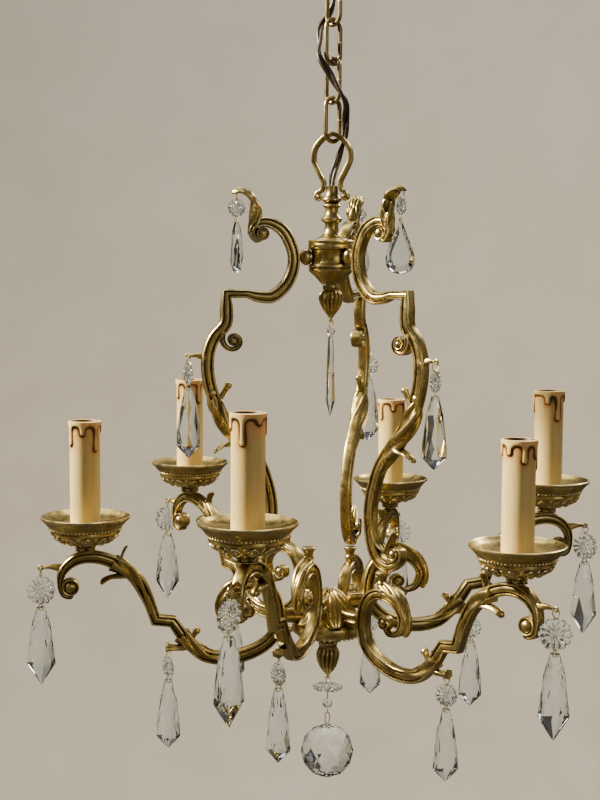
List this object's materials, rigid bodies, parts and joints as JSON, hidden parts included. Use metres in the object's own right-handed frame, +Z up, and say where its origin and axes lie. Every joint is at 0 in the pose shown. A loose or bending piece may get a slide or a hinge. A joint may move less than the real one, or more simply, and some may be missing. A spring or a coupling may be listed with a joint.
{
  "type": "chandelier",
  "caption": "Cage chandelier of cast brass: scrolled arms with drip pans and candle sleeves, a scrolled cage under a turned hub, cut-glass drops, hung on a chain.",
  "frame": {"origin": "middle of the ceiling rose's flat top, where it meets the ceiling", "axes": "+Z up along the chain and the stem; +Y toward the lower arm whose cage bar is bar 1; azimuths turn from +Y toward +X"},
  "size_m": [0.4526, 0.5136, 0.725],
  "materials": {
    "antique_brass": "gilt brass castings with brown in the grooves",
    "chain_brass": "dull dark brass",
    "glass": "clear cut glass",
    "cream_card": "cream candle sleeve with amber runs of wax",
    "black_moulding": "dark moulded lampholder",
    "flex_cover": "dark brown two-core flex",
    "zinc_steel": "threaded tube"
  },
  "bodies": {
    "ceiling": {"ceiling_rose": "chain_brass", "flex": "flex_cover"},
    "link_1": {"chain_link_1": "chain_brass"},
    "link_2": {"chain_link_2": "chain_brass"},
    "link_3": {"chain_link_3": "chain_brass"},
    "link_4": {"chain_link_4": "chain_brass"},
    "cage": {"bail": "antique_brass", "hub_neck": "antique_brass", "hub_cup": "antique_brass", "hub_tube": "zinc_steel", "hub_finial": "antique_brass", "dish": "antique_brass", "bottom_finial": "antique_brass", "cage_bar_1": "antique_brass", "cage_bar_2": "antique_brass", "cage_bar_3": "antique_brass", "arm_1": "antique_brass", "arm_2": "antique_brass", "arm_3": "antique_brass", "arm_4": "antique_brass", "arm_5": "antique_brass", "arm_6": "antique_brass", "drip_pan_1": "antique_brass", "drip_pan_2": "antique_brass", "drip_pan_3": "antique_brass", "drip_pan_4": "antique_brass", "drip_pan_5": "antique_brass", "drip_pan_6": "antique_brass", "lampholder_1": "black_moulding", "lampholder_2": "black_moulding", "lampholder_3": "black_moulding", "lampholder_4": "black_moulding", "lampholder_5": "black_moulding", "lampholder_6": "black_moulding"},
    "end_drop_1_body": {"end_drop_1": "glass"},
    "nub_drop_1_body": {"nub_drop_1": "glass"},
    "end_drop_2_body": {"end_drop_2": "glass"},
    "nub_drop_2_body": {"nub_drop_2": "glass"},
    "end_drop_3_body": {"end_drop_3": "glass"},
    "nub_drop_3_body": {"nub_drop_3": "glass"},
    "end_drop_4_body": {"end_drop_4": "glass"},
    "nub_drop_4_body": {"nub_drop_4": "glass"},
    "end_drop_5_body": {"end_drop_5": "glass"},
    "nub_drop_5_body": {"nub_drop_5": "glass"},
    "end_drop_6_body": {"end_drop_6": "glass"},
    "nub_drop_6_body": {"nub_drop_6": "glass"},
    "side_drop_1_body": {"side_drop_1": "glass"},
    "top_drop_1_body": {"top_drop_1": "glass"},
    "side_drop_2_body": {"side_drop_2": "glass"},
    "top_drop_2_body": {"top_drop_2": "glass"},
    "side_drop_3_body": {"side_drop_3": "glass"},
    "top_drop_3_body": {"top_drop_3": "glass"},
    "spear_drop_body": {"spear_drop": "glass"},
    "ball_drop_body": {"ball_drop": "glass"},
    "sleeve_1": {"candle_sleeve_1": "cream_card"},
    "sleeve_2": {"candle_sleeve_2": "cream_card"},
    "sleeve_3": {"candle_sleeve_3": "cream_card"},
    "sleeve_4": {"candle_sleeve_4": "cream_card"},
    "sleeve_5": {"candle_sleeve_5": "cream_card"},
    "sleeve_6": {"candle_sleeve_6": "cream_card"}
  },
  "joints": [
    {"name": "link_1_swing", "type": "hinge", "parent": "ceiling", "child": "link_1", "pos_m": [0, 0, -0.0371], "axis": [0.5, 0.866, 0], "range_deg": [-25, 25], "deforming": ["flex"]},
    {"name": "link_2_swing", "type": "hinge", "parent": "link_1", "child": "link_2", "pos_m": [0, 0, -0.0698], "axis": [0.866, -0.5, 0], "range_deg": [-25, 25], "deforming": ["flex"]},
    {"name": "link_3_swing", "type": "hinge", "parent": "link_2", "child": "link_3", "pos_m": [0, 0, -0.1025], "axis": [0.5, 0.866, 0], "range_deg": [-25, 25], "deforming": ["flex"]},
    {"name": "link_4_swing", "type": "hinge", "parent": "link_3", "child": "link_4", "pos_m": [0, 0, -0.1352], "axis": [0.866, -0.5, 0], "range_deg": [-25, 25], "deforming": ["flex"]},
    {"name": "cage_swing", "type": "hinge", "parent": "link_4", "child": "cage", "pos_m": [0, 0, -0.1679], "axis": [0.5, 0.866, 0], "range_deg": [-12, 12], "deforming": ["flex"]},
    {"name": "end_drop_1_swing", "type": "hinge", "parent": "cage", "child": "end_drop_1_body", "pos_m": [0, 0.2485, -0.529], "axis": [-1, 0, 0], "range_deg": [-25, 1]},
    {"name": "nub_drop_1_swing", "type": "hinge", "parent": "cage", "child": "nub_drop_1_body", "pos_m": [0, 0.141, -0.6035], "axis": [-1, 0, 0], "range_deg": [-20, 20]},
    {"name": "end_drop_2_swing", "type": "hinge", "parent": "cage", "child": "end_drop_2_body", "pos_m": [0.20741, 0.11975, -0.507], "axis": [-0.5, 0.866, 0], "range_deg": [-25, 1]},
    {"name": "nub_drop_2_swing", "type": "hinge", "parent": "cage", "child": "nub_drop_2_body", "pos_m": [0.11431, 0.066, -0.5815], "axis": [-0.5, 0.866, 0], "range_deg": [-20, 20]},
    {"name": "end_drop_3_swing", "type": "hinge", "parent": "cage", "child": "end_drop_3_body", "pos_m": [0.21521, -0.12425, -0.529], "axis": [0.5, 0.866, 0], "range_deg": [-25, 1]},
    {"name": "nub_drop_3_swing", "type": "hinge", "parent": "cage", "child": "nub_drop_3_body", "pos_m": [0.12211, -0.0705, -0.6035], "axis": [0.5, 0.866, 0], "range_deg": [-20, 20]},
    {"name": "end_drop_4_swing", "type": "hinge", "parent": "cage", "child": "end_drop_4_body", "pos_m": [0, -0.2395, -0.507], "axis": [1, 0, 0], "range_deg": [-25, 1]},
    {"name": "nub_drop_4_swing", "type": "hinge", "parent": "cage", "child": "nub_drop_4_body", "pos_m": [0, -0.132, -0.5815], "axis": [1, 0, 0], "range_deg": [-20, 20]},
    {"name": "end_drop_5_swing", "type": "hinge", "parent": "cage", "child": "end_drop_5_body", "pos_m": [-0.21521, -0.12425, -0.529], "axis": [0.5, -0.866, 0], "range_deg": [-25, 1]},
    {"name": "nub_drop_5_swing", "type": "hinge", "parent": "cage", "child": "nub_drop_5_body", "pos_m": [-0.12211, -0.0705, -0.6035], "axis": [0.5, -0.866, 0], "range_deg": [-20, 20]},
    {"name": "end_drop_6_swing", "type": "hinge", "parent": "cage", "child": "end_drop_6_body", "pos_m": [-0.20741, 0.11975, -0.507], "axis": [-0.5, -0.866, 0], "range_deg": [-25, 1]},
    {"name": "nub_drop_6_swing", "type": "hinge", "parent": "cage", "child": "nub_drop_6_body", "pos_m": [-0.11431, 0.066, -0.5815], "axis": [-0.5, -0.866, 0], "range_deg": [-20, 20]},
    {"name": "side_drop_1_swing", "type": "hinge", "parent": "cage", "child": "side_drop_1_body", "pos_m": [0, 0.1235, -0.351], "axis": [-1, 0, 0], "range_deg": [-25, 4]},
    {"name": "top_drop_1_swing", "type": "hinge", "parent": "cage", "child": "top_drop_1_body", "pos_m": [0, 0.0825, -0.212], "axis": [-1, 0, 0], "range_deg": [-25, 3]},
    {"name": "side_drop_2_swing", "type": "hinge", "parent": "cage", "child": "side_drop_2_body", "pos_m": [0.10695, -0.06175, -0.351], "axis": [0.5, 0.866, 0], "range_deg": [-25, 4]},
    {"name": "top_drop_2_swing", "type": "hinge", "parent": "cage", "child": "top_drop_2_body", "pos_m": [0.07145, -0.04125, -0.212], "axis": [0.5, 0.866, 0], "range_deg": [-25, 3]},
    {"name": "side_drop_3_swing", "type": "hinge", "parent": "cage", "child": "side_drop_3_body", "pos_m": [-0.10695, -0.06175, -0.351], "axis": [0.5, -0.866, 0], "range_deg": [-25, 4]},
    {"name": "top_drop_3_swing", "type": "hinge", "parent": "cage", "child": "top_drop_3_body", "pos_m": [-0.07145, -0.04125, -0.212], "axis": [0.5, -0.866, 0], "range_deg": [-25, 3]},
    {"name": "spear_drop_swing", "type": "hinge", "parent": "cage", "child": "spear_drop_body", "pos_m": [0, 0, -0.321], "axis": [-1, 0, 0], "range_deg": [-12, 12]},
    {"name": "ball_drop_swing", "type": "hinge", "parent": "cage", "child": "ball_drop_body", "pos_m": [0, 0, -0.635], "axis": [-1, 0, 0], "range_deg": [-15, 15]},
    {"name": "sleeve_1_lift", "type": "slide", "parent": "cage", "child": "sleeve_1", "axis": [0, 0, 1], "range_m": [0, 0.095]},
    {"name": "sleeve_2_lift", "type": "slide", "parent": "cage", "child": "sleeve_2", "axis": [0, 0, 1], "range_m": [0, 0.095]},
    {"name": "sleeve_3_lift", "type": "slide", "parent": "cage", "child": "sleeve_3", "axis": [0, 0, 1], "range_m": [0, 0.095]},
    {"name": "sleeve_4_lift", "type": "slide", "parent": "cage", "child": "sleeve_4", "axis": [0, 0, 1], "range_m": [0, 0.095]},
    {"name": "sleeve_5_lift", "type": "slide", "parent": "cage", "child": "sleeve_5", "axis": [0, 0, 1], "range_m": [0, 0.095]},
    {"name": "sleeve_6_lift", "type": "slide", "parent": "cage", "child": "sleeve_6", "axis": [0, 0, 1], "range_m": [0, 0.095]}
  ]
}
